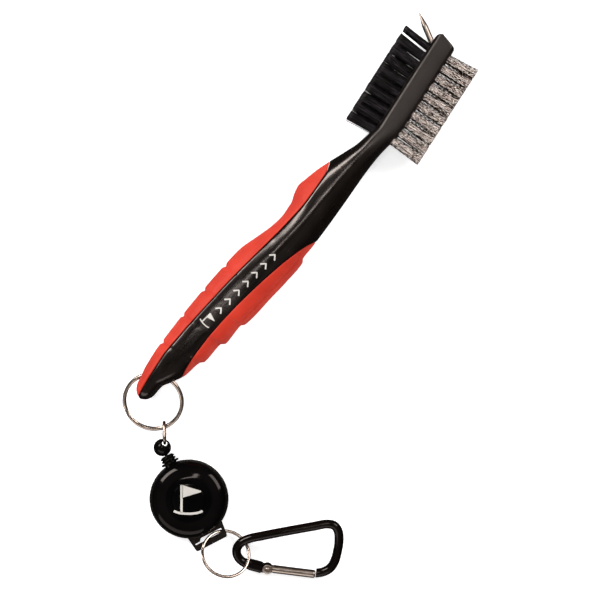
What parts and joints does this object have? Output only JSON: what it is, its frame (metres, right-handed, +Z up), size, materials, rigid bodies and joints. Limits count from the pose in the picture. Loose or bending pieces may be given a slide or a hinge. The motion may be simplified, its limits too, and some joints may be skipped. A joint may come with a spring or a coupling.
{
  "type": "club groove brush",
  "caption": "Two-sided bristle brush with an angled rubber grip and a folding pick, on a retractable cord reel with split rings and a small carabiner.",
  "frame": {"origin": "on the face that the head rests on, on the head's centre line, at the root of the head, with the object lying flat", "axes": "+Y along the head towards its tip, +X towards the wire bristles, +Z up from the surface that the object lies on"},
  "size_m": [0.1133, 0.2407, 0.02],
  "materials": {
    "black_plastic": "satin",
    "gloss_plastic": "glossy",
    "grey_plastic": "satin",
    "red_rubber": "satin",
    "nylon": "satin",
    "bristle_wire": "satin",
    "steel": "polished",
    "spring_steel": "satin",
    "black_paint": "glossy",
    "cord": "matt",
    "badge_print": "glossy"
  },
  "bodies": {
    "brush": {"handle_core": "black_plastic", "grip_back": "red_rubber", "grip_front": "red_rubber", "nylon_tuft_row_01": "nylon", "nylon_tuft_row_02": "nylon", "nylon_tuft_row_03": "nylon", "nylon_tuft_row_04": "nylon", "nylon_tuft_row_05": "nylon", "nylon_tuft_row_06": "nylon", "nylon_tuft_row_07": "nylon", "nylon_tuft_row_08": "nylon", "nylon_tuft_row_09": "nylon", "nylon_tuft_row_10": "nylon", "wire_tuft_row_01": "bristle_wire", "wire_tuft_row_02": "bristle_wire", "wire_tuft_row_03": "bristle_wire", "wire_tuft_row_04": "bristle_wire", "wire_tuft_row_05": "bristle_wire", "wire_tuft_row_06": "bristle_wire", "wire_tuft_row_07": "bristle_wire", "wire_tuft_row_08": "bristle_wire", "wire_tuft_row_09": "bristle_wire", "wire_tuft_row_10": "bristle_wire", "pick_pivot_pin": "steel"},
    "pick": {"groove_pick": "steel"},
    "big_ring": {"handle_split_ring": "steel"},
    "link": {"jump_ring": "steel"},
    "cord_end": {"cord_bead": "gloss_plastic", "cord_lead": "cord"},
    "reel": {"reel_back_case": "grey_plastic", "reel_front_case": "gloss_plastic", "reel_badge": "badge_print", "reel_screw": "steel", "cord_nozzle": "gloss_plastic", "power_spring": "spring_steel"},
    "spool": {"spool": "grey_plastic", "cord_winding": "cord"},
    "small_ring": {"clip_split_ring": "steel"},
    "carabiner": {"carabiner_body": "black_paint", "gate_rivet": "steel"},
    "gate": {"gate_tube": "steel", "gate_spring": "spring_steel", "gate_plunger": "steel"}
  },
  "joints": [
    {"name": "pick_fold", "type": "hinge", "parent": "brush", "child": "pick", "pos_m": [0.0004, 0.0449, 0.00175], "axis": [0, 0, 1], "range_deg": [-55.8, 124.2]},
    {"name": "big_ring_swing", "type": "hinge", "parent": "brush", "child": "big_ring", "pos_m": [-0.02493, -0.12874, 0.01], "axis": [-0.9421, -0.3355, 0], "range_deg": [-45, 90]},
    {"name": "link_swing", "type": "hinge", "parent": "big_ring", "child": "link", "pos_m": [-0.01203, -0.14492, 0.00383], "axis": [-0.5966, -0.7844, -0.1699], "range_deg": [-40, 90]},
    {"name": "bead_swivel", "type": "hinge", "parent": "link", "child": "cord_end", "pos_m": [-0.0082, -0.15045, 0.00557], "axis": [0, 0, 1], "range_deg": [-60, 60]},
    {"name": "cord_pull", "type": "slide", "parent": "cord_end", "child": "reel", "axis": [0.866, -0.5, 0], "range_m": [0, 0.6], "stiffness_N_per_m": 2, "springref_m": -0.3},
    {"name": "spool_turn", "type": "hinge", "parent": "reel", "child": "spool", "pos_m": [0.0126, -0.16435, 0.005], "axis": [0, 0, 1], "continuous": true},
    {"name": "small_ring_swing", "type": "hinge", "parent": "reel", "child": "small_ring", "pos_m": [0.03058, -0.173, 0.0047], "axis": [-0.5, -0.866, 0], "range_deg": [-12, 55]},
    {"name": "carabiner_swing", "type": "hinge", "parent": "small_ring", "child": "carabiner", "pos_m": [0.04553, -0.16999, 0.0041], "axis": [0.1219, -0.2064, 0.9709], "range_deg": [-45, 60]},
    {"name": "gate_open", "type": "hinge", "parent": "carabiner", "child": "gate", "pos_m": [0.05533, -0.17114, 0.00253], "axis": [0.1219, -0.2064, 0.9709], "range_deg": [0, 30], "stiffness_Nm_per_rad": 0.002, "springref_deg": -17.19}
  ],
  "couplings": [
    {"joint": "spool_turn", "follows": "cord_pull", "rad_per_m": 98.5}
  ]
}
